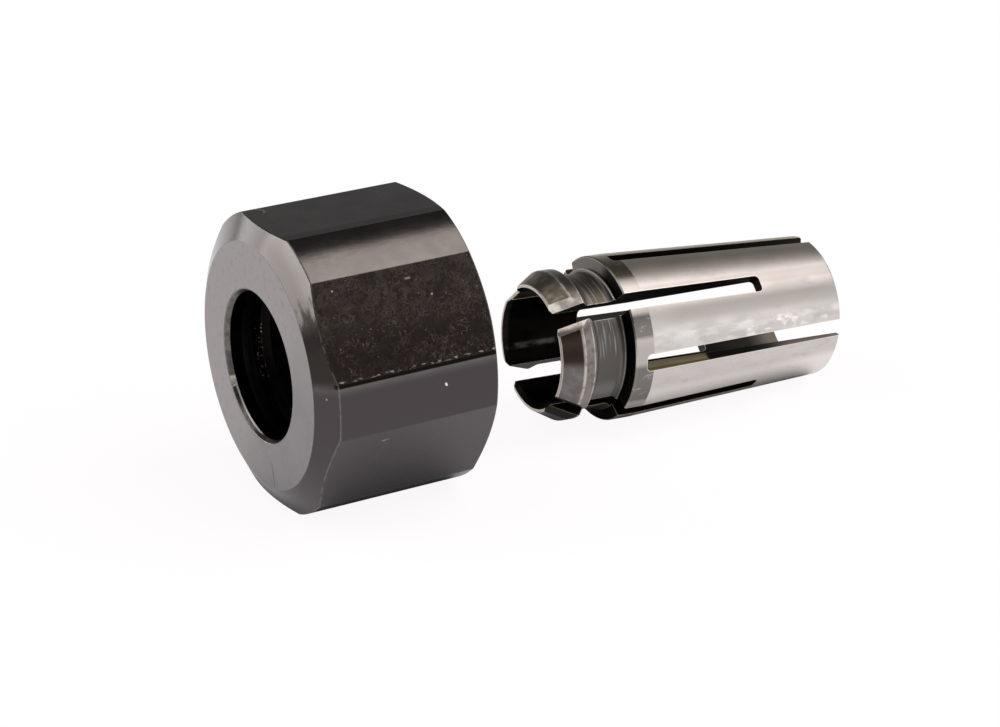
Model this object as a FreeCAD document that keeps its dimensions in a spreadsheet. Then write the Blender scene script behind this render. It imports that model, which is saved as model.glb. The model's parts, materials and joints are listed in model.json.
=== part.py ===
# Router collet set: a slotted spring collet and the nut that closes it.
# Both lie on a table as they are taken from the drawer, the collet unsnapped from its nut.
# +X runs from the nut's front face towards the collet's tail, and +Z is up.
# The origin is on the table, under the middle of the set.
import FreeCAD, Part
import math
import os
import Sketcher

doc = FreeCAD.newDocument("router_collet")
sizes = doc.addObject("Spreadsheet::Sheet", "sizes")

# Driving sizes in millimetres and degrees. Cone and taper angles are measured from the axis.
DRIVING_SIZES = [
    # the nut from outside
    ("nut_length", 13.2),
    ("across_flats", 19.0),
    ("flat_depth", 0.575),
    ("flat_count", 6),
    ("nut_face_diameter", 16.5),
    ("nut_chamfer_length", 0.95),
    # the hole that the cutter's shank comes out of, and the seat behind it
    ("shank_hole_diameter", 9.9),
    ("hole_mouth_width", 0.2),
    ("hole_mouth_depth", 0.35),
    ("seat_depth", 1.2),
    # the snap lip that draws the collet out of its taper
    ("lip_diameter", 9.9),
    ("lip_length", 1.0),
    ("crest_clearance", 0.2),
    ("snap_play", 0.3),
    ("flange_clearance", 0.35),
    # the thread that screws onto the router's spindle
    ("thread_diameter", 14.0),
    ("thread_length", 6.3),
    ("thread_lead_in", 0.4),
    ("relief_length", 1.0),
    ("relief_depth", 0.15),
    # the collet's nose cone, crest and waist
    ("collet_length", 22.3),
    ("rim_diameter", 8.88),
    ("nose_cone_angle", 30.0),
    ("crest_diameter", 10.5),
    ("crest_length", 0.8),
    ("crest_back_length", 0.45),
    ("waist_diameter", 9.4),
    ("waist_length", 1.85),
    ("waist_corner_radius", 0.2),
    # the small bead and the undercut in front of its shoulder
    ("bead_slope_length", 0.16),
    ("bead_rise", 0.26),
    ("bead_length", 0.12),
    ("undercut_length", 0.12),
    ("undercut_rise", 0.14),
    # its shoulder, the short land behind it and the ground taper
    ("shoulder_length", 0.13),
    ("flange_diameter", 11.56),
    ("shoulder_edge_break", 0.1),
    ("land_length", 1.35),
    ("taper_angle", 2.7),
    ("tail_edge_break", 0.15),
    # the straight bore that grips the cutter's shank, and the wall at the tail that the bore
    # widens to behind it
    ("bore_diameter", 8.2),
    ("bore_mouth_width", 0.15),
    ("bore_mouth_depth", 0.4),
    ("grip_end", 6.0),
    ("tail_wall", 0.49),
    # the slots that make it a spring, cut in turn from the nose and from the tail
    ("slot_count", 4),
    ("slot_width", 1.2),
    ("slot_corner_radius", 0.3),
    ("nose_slot_end", 16.1),
    ("tail_slot_end", 5.95),
    # the bevel along the edges of each jaw on the nose cone
    ("jaw_bevel_width", 1.0),
    ("jaw_bevel_depth", 0.37),
    ("jaw_bevel_lean", 1.0),
    # how the two pieces lie on the table
    ("gap_between", 7.74),
    ("collet_side_step", 0.69),
    ("collet_yaw", -2.0),
]
for row, (alias, number) in enumerate(DRIVING_SIZES, 1):
    sizes.set(f"A{row}", alias.replace("_", " "))
    sizes.set(f"B{row}", str(number))
    sizes.setAlias(f"B{row}", alias)
doc.recompute()

# A sketch's own origin point and axes, as its constraints number them.
ORIGIN_POINT = (-1, 1)
AXIS_ALONG = -1
AXIS_UP = -2


def size(words):
    """Number that an expression comes to, in millimetres or degrees."""
    result = sizes.evalExpression(words)
    return float(getattr(result, "Value", result))


def radius(alias):
    """Expression for the radius that goes with a named diameter."""
    return f"(sizes.{alias} / 2)"


# Stations along the collet's axis, from the plane of its nose rim.
CREST_START = (
    f"(({radius('crest_diameter')} - {radius('rim_diameter')}) / tan(sizes.nose_cone_angle))"
)
CREST_END = f"({CREST_START} + sizes.crest_length)"
WAIST_START = f"({CREST_END} + sizes.crest_back_length)"
WAIST_END = f"({WAIST_START} + sizes.waist_length)"
BEAD_START = f"({WAIST_END} + sizes.bead_slope_length)"
BEAD_END = f"({BEAD_START} + sizes.bead_length)"
UNDERCUT = f"({BEAD_END} + sizes.undercut_length)"
SHOULDER_EDGE = f"({UNDERCUT} + sizes.shoulder_length)"
LAND_START = f"({SHOULDER_EDGE} + sizes.shoulder_edge_break)"
LAND_END = f"({LAND_START} + sizes.land_length)"
TAIL_BREAK = "(sizes.collet_length - sizes.tail_edge_break)"

# Radii at the tail, outside and in the bore, and where the taper's cone would reach the nose plane.
TAIL_BREAK_RADIUS = (
    f"({radius('flange_diameter')} - ({TAIL_BREAK} - {LAND_END}) * tan(sizes.taper_angle))"
)
TAIL_BORE_RADIUS = f"({TAIL_BREAK_RADIUS} - sizes.tail_wall)"
TAPER_RADIUS_AT_NOSE = (
    f"({radius('flange_diameter')} + {LAND_END} * tan(sizes.taper_angle))"
)

# Stations along the nut's axis, from its front face. With the set closed, the nose cone sits in
# the nut's seat, so the lip and the room for the flange follow from the collet's own stations.
# The round bar that the flats are milled on is as much larger as they are deep.
NUT_RADIUS = f"({radius('across_flats')} + sizes.flat_depth)"
SHANK_HOLE_RADIUS = radius("shank_hole_diameter")
CHAMBER_RADIUS = f"({radius('crest_diameter')} + sizes.crest_clearance)"
NOSE_INSET = (
    f"(sizes.seat_depth - ({SHANK_HOLE_RADIUS} - {radius('rim_diameter')})"
    " / tan(sizes.nose_cone_angle))"
)
CHAMBER_START = (
    f"(sizes.seat_depth + ({CHAMBER_RADIUS} - {SHANK_HOLE_RADIUS}) / tan(sizes.nose_cone_angle))"
)
LIP_BEVEL = f"({NOSE_INSET} + {CREST_END} + sizes.snap_play)"
LIP_START = f"({LIP_BEVEL} + sizes.crest_back_length)"
LIP_END = f"({LIP_START} + sizes.lip_length)"
FLANGE_ROOM_RADIUS = f"({radius('flange_diameter')} + sizes.flange_clearance)"
FLANGE_ROOM_START = f"({LIP_END} + {FLANGE_ROOM_RADIUS} - {radius('lip_diameter')})"
THREAD_START = "(sizes.nut_length - sizes.thread_length)"
THREAD_END = "(sizes.nut_length - sizes.thread_lead_in)"
RELIEF_START = f"({THREAD_START} - sizes.relief_length)"
RELIEF_RADIUS = f"({radius('thread_diameter')} + sizes.relief_depth)"


def origin_feature(body, role):
    """A body's own origin plane or axis."""
    return next(item for item in body.Origin.OriginFeatures if item.Role == role)


def new_sketch(body, name, plane):
    """Empty sketch on one of a body's own origin planes."""
    sketch = body.newObject("Sketcher::SketchObject", name)
    sketch.AttachmentSupport = [(origin_feature(body, plane), "")]
    sketch.MapMode = "FlatFace"
    return sketch


def bind(sketch, kind, first, second, words):
    """Dimension between two points of a sketch, tied to an expression."""
    index = sketch.addConstraint(Sketcher.Constraint(kind, *first, *second, size(words)))
    sketch.setExpression(f"Constraints[{index}]", words)


def draw_lines(sketch, places):
    """Closed outline of straight lines, joined end to end."""
    count = len(places)
    for index, place in enumerate(places):
        sketch.addGeometry(Part.LineSegment(place, places[(index + 1) % count]), False)
    for index in range(count):
        following = (index + 1) % count
        sketch.addConstraint(Sketcher.Constraint("Coincident", index, 2, following, 1))


def draw_section(sketch, corners):
    """Half of a turned section. Each corner is a pair of expressions: station and radius."""
    draw_lines(sketch, [FreeCAD.Vector(size(along), size(out), 0) for along, out in corners])
    for index, (along, out) in enumerate(corners):
        if along == "0":
            sketch.addConstraint(Sketcher.Constraint("PointOnObject", index, 1, AXIS_UP))
        else:
            bind(sketch, "DistanceX", ORIGIN_POINT, (index, 1), along)
        bind(sketch, "DistanceY", ORIGIN_POINT, (index, 1), out)


def draw_trapezium(sketch, low, high, low_half_width, high_half_width):
    """Four-sided outline, even about the sketch's upright axis, between two heights."""
    draw_lines(sketch, [
        FreeCAD.Vector(-size(low_half_width), size(low), 0),
        FreeCAD.Vector(size(low_half_width), size(low), 0),
        FreeCAD.Vector(size(high_half_width), size(high), 0),
        FreeCAD.Vector(-size(high_half_width), size(high), 0),
    ])
    sketch.addConstraint(Sketcher.Constraint("Symmetric", 0, 1, 0, 2, AXIS_UP))
    sketch.addConstraint(Sketcher.Constraint("Symmetric", 2, 1, 2, 2, AXIS_UP))
    bind(sketch, "DistanceX", ORIGIN_POINT, (1, 1), low_half_width)
    bind(sketch, "DistanceY", ORIGIN_POINT, (1, 1), low)
    bind(sketch, "DistanceX", ORIGIN_POINT, (2, 1), high_half_width)
    bind(sketch, "DistanceY", ORIGIN_POINT, (2, 1), high)


def draw_slot(sketch, closed_end, open_end):
    """Slot outline along the axis, with rounded corners at its closed end."""
    width, corner = size("sizes.slot_width"), size("sizes.slot_corner_radius")
    closed, opened = size(closed_end), size(open_end)
    back = math.copysign(corner, opened - closed)
    side = width / 2
    upright = FreeCAD.Vector(0, 0, 1)
    low_centre = FreeCAD.Vector(closed + back, corner - side, 0)
    high_centre = FreeCAD.Vector(closed + back, side - corner, 0)
    # The corner arcs run anticlockwise, so their first ends swap with the slot's direction.
    first_end, last_end = (1, 2) if back < 0 else (2, 1)
    low_angles = (-math.pi / 2, 0) if back < 0 else (math.pi, 3 * math.pi / 2)
    high_angles = (0, math.pi / 2) if back < 0 else (math.pi / 2, math.pi)
    outline = [
        Part.LineSegment(FreeCAD.Vector(opened, -side, 0), FreeCAD.Vector(closed + back, -side, 0)),
        Part.ArcOfCircle(Part.Circle(low_centre, upright, corner), *low_angles),
        Part.LineSegment(
            FreeCAD.Vector(closed, corner - side, 0), FreeCAD.Vector(closed, side - corner, 0)
        ),
        Part.ArcOfCircle(Part.Circle(high_centre, upright, corner), *high_angles),
        Part.LineSegment(FreeCAD.Vector(closed + back, side, 0), FreeCAD.Vector(opened, side, 0)),
        Part.LineSegment(FreeCAD.Vector(opened, side, 0), FreeCAD.Vector(opened, -side, 0)),
    ]
    for line in outline:
        sketch.addGeometry(line, False)
    for rule in [
        ("Tangent", 0, 2, 1, first_end),
        ("Tangent", 1, last_end, 2, 1),
        ("Tangent", 2, 2, 3, first_end),
        ("Tangent", 3, last_end, 4, 1),
        ("Coincident", 4, 2, 5, 1),
        ("Coincident", 5, 2, 0, 1),
        ("Horizontal", 0),
        ("Horizontal", 4),
        ("Vertical", 2),
        ("Symmetric", 0, 1, 4, 2, AXIS_ALONG),
        ("Equal", 1, 3),
    ]:
        sketch.addConstraint(Sketcher.Constraint(*rule))
    index = sketch.addConstraint(Sketcher.Constraint("Radius", 1, corner))
    sketch.setExpression(f"Constraints[{index}]", "sizes.slot_corner_radius")
    bind(sketch, "DistanceY", (0, 1), (4, 2), "sizes.slot_width")
    bind(sketch, "DistanceX", ORIGIN_POINT, (2, 1), closed_end)
    if opened < closed:
        bind(sketch, "DistanceX", (0, 1), (2, 1), f"{closed_end} - {open_end}")
    else:
        bind(sketch, "DistanceX", (2, 1), (0, 1), f"{open_end} - {closed_end}")


def turn(body, name, corners):
    """Turned shape: half of its section, revolved about the body's X axis."""
    sketch = new_sketch(body, f"{name}_section", "XZ_Plane")
    draw_section(sketch, corners)
    turned = body.newObject("PartDesign::Revolution", name)
    turned.Profile = sketch
    turned.ReferenceAxis = (sketch, ["H_Axis"])
    turned.Angle = 360
    doc.recompute()


def cut_through(body, name, sketch):
    """Cut from a sketch's plane the way its normal points, out through everything there."""
    before = body.Shape.Volume
    cut = body.newObject("PartDesign::Pocket", name)
    cut.Profile = sketch
    cut.Type = "ThroughAll"
    cut.Reversed = True
    doc.recompute()
    if before - cut.Shape.Volume <= 0:
        raise ValueError(f"{name} cuts nothing")
    return cut


def repeat_round(body, name, cuts, count):
    """Cuts repeated at even steps round the body's X axis."""
    pattern = body.newObject("PartDesign::PolarPattern", name)
    pattern.Originals = cuts
    pattern.Axis = (origin_feature(body, "X_Axis"), [""])
    pattern.Angle = 360
    pattern.setExpression("Occurrences", count)
    body.Tip = pattern
    doc.recompute()


def ring_edges(shape, rings):
    """Names of the full circles round the X axis at pairs of expressions: station, radius."""
    wanted = [(size(along), size(out)) for along, out in rings]
    names = []
    for number, edge in enumerate(shape.Edges, 1):
        curve = edge.Curve
        if not isinstance(curve, Part.Circle):
            continue
        for along, out in wanted:
            if abs(curve.Center.x - along) < 1e-4 and abs(curve.Radius - out) < 1e-4:
                names.append(f"Edge{number}")
    return names


def make_nut():
    """Collet nut: turned and threaded in one piece, with flats milled for a spanner."""
    body = doc.addObject("PartDesign::Body", "collet_nut")
    turn(body, "turned_nut", [
        ("0", f"({SHANK_HOLE_RADIUS} + sizes.hole_mouth_width)"),
        ("0", radius("nut_face_diameter")),
        ("sizes.nut_chamfer_length", NUT_RADIUS),
        ("(sizes.nut_length - sizes.nut_chamfer_length)", NUT_RADIUS),
        ("sizes.nut_length", radius("nut_face_diameter")),
        ("sizes.nut_length", f"({radius('thread_diameter')} + sizes.thread_lead_in)"),
        (THREAD_END, radius("thread_diameter")),
        (THREAD_START, radius("thread_diameter")),
        (THREAD_START, RELIEF_RADIUS),
        (RELIEF_START, RELIEF_RADIUS),
        (RELIEF_START, FLANGE_ROOM_RADIUS),
        (FLANGE_ROOM_START, FLANGE_ROOM_RADIUS),
        (LIP_END, radius("lip_diameter")),
        (LIP_START, radius("lip_diameter")),
        (LIP_BEVEL, CHAMBER_RADIUS),
        (CHAMBER_START, CHAMBER_RADIUS),
        ("sizes.seat_depth", SHANK_HOLE_RADIUS),
        ("sizes.hole_mouth_depth", SHANK_HOLE_RADIUS),
    ])
    # One flat is what lies outside half the spanner size, over the whole width of the nut.
    sketch = new_sketch(body, "flat_outline", "YZ_Plane")
    draw_trapezium(
        sketch,
        low=radius("across_flats"),
        high=f"(2 * {NUT_RADIUS})",
        low_half_width=NUT_RADIUS,
        high_half_width=NUT_RADIUS,
    )
    flat = cut_through(body, "milled_flat", sketch)
    repeat_round(body, "spanner_flats", [flat], "sizes.flat_count")
    return body


def make_collet():
    """Spring collet: turned, slit from both ends and ground. A nose slot faces its own +Z."""
    body = doc.addObject("PartDesign::Body", "spring_collet")
    turn(body, "turned_collet", [
        ("0", f"({radius('bore_diameter')} + sizes.bore_mouth_width)"),
        ("0", radius("rim_diameter")),
        (CREST_START, radius("crest_diameter")),
        (CREST_END, radius("crest_diameter")),
        (WAIST_START, radius("waist_diameter")),
        (WAIST_END, radius("waist_diameter")),
        (BEAD_START, f"({radius('waist_diameter')} + sizes.bead_rise)"),
        (BEAD_END, f"({radius('waist_diameter')} + sizes.bead_rise)"),
        (UNDERCUT, f"({radius('waist_diameter')} + sizes.undercut_rise)"),
        (SHOULDER_EDGE, f"({radius('flange_diameter')} - sizes.shoulder_edge_break)"),
        (LAND_START, radius("flange_diameter")),
        (LAND_END, radius("flange_diameter")),
        (TAIL_BREAK, TAIL_BREAK_RADIUS),
        ("sizes.collet_length", f"({TAIL_BREAK_RADIUS} - sizes.tail_edge_break)"),
        ("sizes.collet_length", TAIL_BORE_RADIUS),
        ("sizes.grip_end", radius("bore_diameter")),
        ("sizes.bore_mouth_depth", radius("bore_diameter")),
    ])
    rounded = body.newObject("PartDesign::Fillet", "waist_corners")
    rounded.Base = (
        body.getObject("turned_collet"),
        ring_edges(body.Shape, [
            (WAIST_START, radius("waist_diameter")),
            (WAIST_END, radius("waist_diameter")),
        ]),
    )
    rounded.setExpression("Radius", "sizes.waist_corner_radius")
    doc.recompute()

    # A slot runs from the axis out through one wall, so that the pattern sets their number.
    nose_outline = new_sketch(body, "nose_slot_outline", "XY_Plane")
    draw_slot(nose_outline, "sizes.nose_slot_end", "(-sizes.slot_width)")
    nose_slot = cut_through(body, "nose_slot", nose_outline)

    # The bevel is a trough with sloping sides that leans a little more than the nose cone, so
    # it is widest at the rim and runs out on the crest.
    lean = "(sizes.nose_cone_angle + sizes.jaw_bevel_lean)"
    trough_floor = f"({radius('rim_diameter')} * cos{lean} - sizes.jaw_bevel_depth)"
    trough_height = "(3 * sizes.jaw_bevel_depth)"
    bevel_outline = new_sketch(body, "jaw_bevel_outline", "YZ_Plane")
    bevel_outline.AttachmentOffset = FreeCAD.Placement(
        FreeCAD.Vector(), FreeCAD.Rotation(FreeCAD.Vector(-1, 0, 0), size(lean))
    )
    bevel_outline.setExpression(".AttachmentOffset.Rotation.Angle", f"{lean} * 1 deg")
    draw_trapezium(
        bevel_outline,
        low=trough_floor,
        high=f"({trough_floor} + {trough_height})",
        low_half_width="(sizes.slot_width / 2)",
        high_half_width="(sizes.slot_width / 2 + 3 * sizes.jaw_bevel_width)",
    )
    jaw_bevel = cut_through(body, "jaw_bevel", bevel_outline)
    repeat_round(body, "nose_slots", [nose_slot, jaw_bevel], "sizes.slot_count")

    tail_outline = new_sketch(body, "tail_slot_outline", "XY_Plane")
    tail_outline.AttachmentOffset = FreeCAD.Placement(
        FreeCAD.Vector(), FreeCAD.Rotation(FreeCAD.Vector(1, 0, 0), size("180 / sizes.slot_count"))
    )
    tail_outline.setExpression(
        ".AttachmentOffset.Rotation.Angle", "180 / sizes.slot_count * 1 deg"
    )
    draw_slot(tail_outline, "sizes.tail_slot_end", "(sizes.collet_length + sizes.slot_width)")
    tail_slot = cut_through(body, "tail_slot", tail_outline)
    repeat_round(body, "tail_slots", [tail_slot], "sizes.slot_count")
    return body


def lay_out(nut, collet):
    """Nut on one flat, collet on its ground taper behind it, nose towards the nut."""
    # The collet's axis leans down to the tail by the taper's angle, and yaws a little.
    axis_x = "(cos(sizes.taper_angle) * cos(sizes.collet_yaw))"
    tail_reach = (
        f"(sizes.collet_length * {axis_x}"
        f" + ({TAIL_BREAK_RADIUS} - sizes.tail_edge_break) * sqrt(1 - {axis_x} ^ 2))"
    )
    set_length = f"(sizes.nut_length + sizes.gap_between + {tail_reach})"
    nut.setExpression("Placement", (
        f"placement(vector(-{set_length} / 2; 0; {radius('across_flats')}); rotation(0; 0; 0))"
    ))
    nose_x = f"(sizes.nut_length + sizes.gap_between - {set_length} / 2)"
    nose_z = f"({TAPER_RADIUS_AT_NOSE} * cos(sizes.taper_angle))"
    # A tail slot faces straight up, half a step round from the nose slots.
    collet.setExpression("Placement", (
        f"placement(vector({nose_x}; sizes.collet_side_step; {nose_z});"
        " rotation(sizes.collet_yaw; sizes.taper_angle; 180 / sizes.slot_count))"
    ))
    doc.recompute()


nut = make_nut()
collet = make_collet()
lay_out(nut, collet)

for item in doc.Objects:
    if "Invalid" in item.State or "Error" in item.State:
        raise ValueError(f"{item.Name} did not build: {item.State}")
for piece in (nut, collet):
    if piece.Shape.isNull() or not piece.Shape.isValid() or len(piece.Shape.Solids) != 1:
        raise ValueError(f"{piece.Label} is not one sound solid")

os.makedirs("parts", exist_ok=True)
for piece in (nut, collet):
    piece.Shape.exportStep(f"parts/{piece.Label}.step")
    box = piece.Shape.BoundBox
    print(f"{piece.Label}: {piece.Shape.Volume:.1f} cubic mm,"
          f" x {box.XMin:.3f} to {box.XMax:.3f}, y {box.YMin:.3f} to {box.YMax:.3f},"
          f" z {box.ZMin:.3f} to {box.ZMax:.3f}")
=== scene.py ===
# %% [markdown]
# Router collet: a blackened collet nut and the slotted spring collet that it closes.
#
# The two pieces come from the CAD model as a fixed frame. Here they get what the drawing has no
# place for: broken edges, the ridges of the thread, and finishes with the marks that turning,
# milling, grinding and use have left on them. Then comes a small studio, seen as in the photo.

# %% Load the frame
import json
import math

import bpy
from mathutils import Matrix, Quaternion, Vector


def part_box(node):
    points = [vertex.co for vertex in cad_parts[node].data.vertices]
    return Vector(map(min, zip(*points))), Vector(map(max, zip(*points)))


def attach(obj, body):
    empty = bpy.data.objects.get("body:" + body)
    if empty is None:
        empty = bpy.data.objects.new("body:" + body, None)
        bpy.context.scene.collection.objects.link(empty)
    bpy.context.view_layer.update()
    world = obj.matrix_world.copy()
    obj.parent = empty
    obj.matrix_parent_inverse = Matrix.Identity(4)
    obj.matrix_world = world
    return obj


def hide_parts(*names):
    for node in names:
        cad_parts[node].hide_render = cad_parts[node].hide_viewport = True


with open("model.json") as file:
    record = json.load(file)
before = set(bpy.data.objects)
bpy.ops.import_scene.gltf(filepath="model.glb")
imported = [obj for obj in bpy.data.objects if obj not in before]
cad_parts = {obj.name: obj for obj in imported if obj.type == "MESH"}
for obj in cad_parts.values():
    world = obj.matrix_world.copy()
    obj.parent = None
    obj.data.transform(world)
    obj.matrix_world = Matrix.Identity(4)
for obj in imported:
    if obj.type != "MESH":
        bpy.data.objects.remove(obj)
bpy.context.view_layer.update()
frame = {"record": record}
MM = 0.001
mounts = {mount["name"]: mount for mount in frame["record"]["mounts"]}

# %% [markdown]
# Each piece has an axis, and nearly every mark on turned work follows it. The nut lies level on
# one flat, so its axis runs along X at half its height. The collet lies on its taper, so its axis
# leans: the record gives it as the axis of the bore that grips the cutter's shank.

# %% The two axes
nut_low, nut_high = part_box("collet_nut")
nut_face_centre = Vector((nut_low.x, 0.0, (nut_low.z + nut_high.z) / 2))

BORE_MOUTH_DEPTH = 0.4 * MM
grip = mounts["shank_grip"]
collet_axis = -Vector(grip["axis"]).normalized()
grip_half_length = grip["dims"]["length_mm"] / 2 * MM
collet_nose = Vector(grip["pos_m"]) - collet_axis * (grip_half_length + BORE_MOUTH_DEPTH)
print("nut axis height in mm:", round(nut_face_centre.z / MM, 3))
print("collet nose in mm:", [round(v / MM, 3) for v in collet_nose])

# %% [markdown]
# The camera stands where the photographer stood: in front of the nut's face, to its left and a
# little above, with a long lens that flattens the perspective. The place, aim and roll were
# found by matching the outline of both pieces in the photo, which is 1000 by 727 pixels.

# %% Camera
CAMERA_PLACE = Vector((-92.130, -156.607, 78.948)) * MM
CAMERA_AIM = Vector((-3.654, 0.0, 5.824)) * MM
CAMERA_ROLL = math.radians(-0.94)
SENSOR_WIDTH = 36
LENS = 102.3
NEAREST_SEEN, FARTHEST_SEEN = 10 * MM, 5.0

bpy.ops.object.select_all(action="DESELECT")
bpy.ops.object.camera_add(location=CAMERA_PLACE)
camera = bpy.context.object
camera.name = "photo_camera"
camera.rotation_mode = "QUATERNION"
look = (CAMERA_AIM - CAMERA_PLACE).to_track_quat("-Z", "Y")
camera.rotation_quaternion = look @ Quaternion((0, 0, 1), CAMERA_ROLL)
camera.data.lens = LENS
camera.data.sensor_width = SENSOR_WIDTH
camera.data.clip_start = NEAREST_SEEN
camera.data.clip_end = FARTHEST_SEEN
bpy.context.scene.camera = camera
print("camera distance in mm:", round((CAMERA_AIM - CAMERA_PLACE).length / MM, 1))

# %% [markdown]
# A shader works with linear light, and a colour picked from a picture is sRGB, so one function
# turns one into the other. Another adds a node: it sets the node's own properties, then fills
# its inputs, with a link where it is given a socket and with a plain value where it is not.

# %% Helpers for colour and nodes
def linear(hex_colour):
    """Linear colour, with alpha, of an sRGB hex value such as #46403c."""
    channels = [int(hex_colour[start:start + 2], 16) / 255 for start in (1, 3, 5)]
    bright = [c / 12.92 if c <= 0.04045 else ((c + 0.055) / 1.055) ** 2.4 for c in channels]
    return (*bright, 1.0)


def add_node(tree, kind, inputs=None, out=0, **settings):
    """Adds a node with its settings, values and links, and gives back one of its outputs."""
    node = tree.nodes.new(kind)
    for name, value in settings.items():
        setattr(node, name, value)
    for socket, value in (inputs or {}).items():
        if isinstance(value, bpy.types.NodeSocket):
            tree.links.new(value, node.inputs[socket])
        else:
            node.inputs[socket].default_value = value
    return node.outputs[out] if node.outputs else node


def empty_tree(name):
    """New material with no nodes in it, and its node tree."""
    material = bpy.data.materials.new(name)
    material.use_nodes = True
    material.node_tree.nodes.clear()
    return material, material.node_tree


print("dark steel in linear light:", [round(c, 3) for c in linear("#46403c")[:3]])

# %% [markdown]
# Both pieces are lathe work, so both are modelled the way a lathe makes them: from half of their
# section. A circle is the first ring. Each further corner of the section is one more extrusion,
# moved along the axis and scaled out from it, and the last ring is merged with the first. The
# frame's own meshes are coarse loose triangles with razor edges. The new ones follow the same
# sizes with fine facets and broken edges, and stand for the frame's nodes.

# %% Helper: turn a section
MERGE_DISTANCE = 0.001 * MM


def turn_section(name, section, facets):
    """Ring after ring of a closed section, given in mm along and out from the X axis."""
    first_along, first_out = section[0]
    bpy.ops.object.select_all(action="DESELECT")
    bpy.ops.mesh.primitive_circle_add(
        vertices=facets, radius=first_out * MM, location=(first_along * MM, 0, 0),
        rotation=(0, math.radians(90), 0),
    )
    piece = bpy.context.object
    piece.name = name
    bpy.ops.object.transform_apply(location=True, rotation=True, scale=True)
    bpy.ops.object.mode_set(mode="EDIT")
    bpy.ops.mesh.select_mode(type="EDGE")
    bpy.ops.mesh.select_all(action="SELECT")
    for (along, out), (next_along, next_out) in zip(section, section[1:] + section[:1]):
        bpy.ops.mesh.extrude_edges_move(
            TRANSFORM_OT_translate={"value": ((next_along - along) * MM, 0, 0)}
        )
        grow = next_out / out
        bpy.ops.transform.resize(value=(1, grow, grow), center_override=(0, 0, 0))
    bpy.ops.mesh.select_all(action="SELECT")
    bpy.ops.mesh.remove_doubles(threshold=MERGE_DISTANCE)
    bpy.ops.mesh.normals_make_consistent(inside=False)
    bpy.ops.object.mode_set(mode="OBJECT")
    print(name, "turned:", len(piece.data.polygons), "faces")
    return piece


# %% [markdown]
# Two more helpers. One selects edges by where their ends are, as a hand would pick them. The
# other breaks edges: no machined edge is perfectly sharp, and the tiny rounding left by the file
# or the brush catches the light as a thin bright line. It first marks the faces that are there as
# strong, so that later their normals rule those of the narrow new ones.

# %% Helpers: pick and break edges
NEAR = 0.01  # two places this near in mm count as one


def pick_edges(piece, wanted):
    """Goes into edit mode with only those edges selected whose two ends pass a test."""
    bpy.context.view_layer.objects.active = piece
    bpy.ops.object.mode_set(mode="EDIT")
    bpy.ops.mesh.select_mode(type="EDGE")
    bpy.ops.mesh.select_all(action="DESELECT")
    bpy.ops.object.mode_set(mode="OBJECT")
    places = [vertex.co / MM for vertex in piece.data.vertices]
    for edge in piece.data.edges:
        edge.select = wanted(places[edge.vertices[0]], places[edge.vertices[1]])
    bpy.ops.object.mode_set(mode="EDIT")


SHARP_ABOVE = math.radians(14)


def break_sharp_edges(piece, width):
    """Rounds every sharp edge by a width in mm."""
    bpy.context.view_layer.objects.active = piece
    bpy.ops.object.mode_set(mode="EDIT")
    bpy.ops.mesh.select_mode(type="EDGE")
    bpy.ops.mesh.select_all(action="SELECT")
    bpy.ops.mesh.mod_weighted_strength(set=True, face_strength="STRONG")
    bpy.ops.mesh.select_all(action="DESELECT")
    bpy.ops.mesh.edges_select_sharp(sharpness=SHARP_ABOVE)
    bpy.ops.mesh.bevel(
        offset=width * MM, segments=2, affect="EDGES", clamp_overlap=False, face_strength_mode="NEW",
    )
    bpy.ops.object.mode_set(mode="OBJECT")
    print(piece.name, "after edge breaks:", len(piece.data.polygons), "faces")


def ring_radius(place):
    """Distance of a place from the X axis."""
    return math.hypot(place.y, place.z)


# %% [markdown]
# The nut's section starts at the mouth of the shank hole and goes round the outside first. The
# inside follows the closed set: a 30 degree seat for the collet's nose, room for its crest, the
# snap lip that pulls it out of the taper, room for its shoulder, a relief groove and the thread.

# %% Nut: turned section
NUT_SECTION = [
    (0.00, 5.15),     # mouth of the shank hole, on the front face
    (0.00, 8.25),     # front face
    (0.95, 10.075),   # front chamfer
    (12.25, 10.075),  # outside
    (13.20, 8.25),    # rear chamfer
    (13.20, 7.40),    # rear face
    (12.80, 7.00),    # lead-in of the thread
    (6.90, 7.00),     # thread, at its major diameter
    (6.90, 7.15),     # relief groove
    (5.90, 7.15),
    (5.90, 6.13),     # room for the shoulder
    (5.45, 6.13),
    (4.27, 4.95),     # snap lip
    (3.27, 4.95),
    (2.82, 5.45),     # chamber for the crest
    (2.07, 5.45),
    (1.20, 4.95),     # end of the seat
    (0.35, 4.95),     # shank hole
]
NUT_FACETS = 192

nut_body = turn_section("nut_body", NUT_SECTION, NUT_FACETS)

# %% [markdown]
# On the real nut a pair of side-milling cutters takes the round bar down to 19 mm across, three
# times with the bar turned by 60 degrees. In the mesh, Bisect does what the cutter does: it
# slices along a plane, clears what lies outside, and fills the cut.

# %% Nut: milled flats
ACROSS_FLATS = 19.0 * MM
FLAT_COUNT = 6
NUT_EDGE_BREAK = 0.06

bpy.context.view_layer.objects.active = nut_body
bpy.ops.object.mode_set(mode="EDIT")
for flat in range(FLAT_COUNT):
    around = 2 * math.pi * flat / FLAT_COUNT
    outwards = Vector((0, -math.sin(around), math.cos(around)))
    bpy.ops.mesh.select_all(action="SELECT")
    bpy.ops.mesh.bisect(
        plane_co=outwards * ACROSS_FLATS / 2, plane_no=outwards, use_fill=True, clear_outer=True,
        threshold=MERGE_DISTANCE,
    )
bpy.ops.object.mode_set(mode="OBJECT")
break_sharp_edges(nut_body, NUT_EDGE_BREAK)

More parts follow.
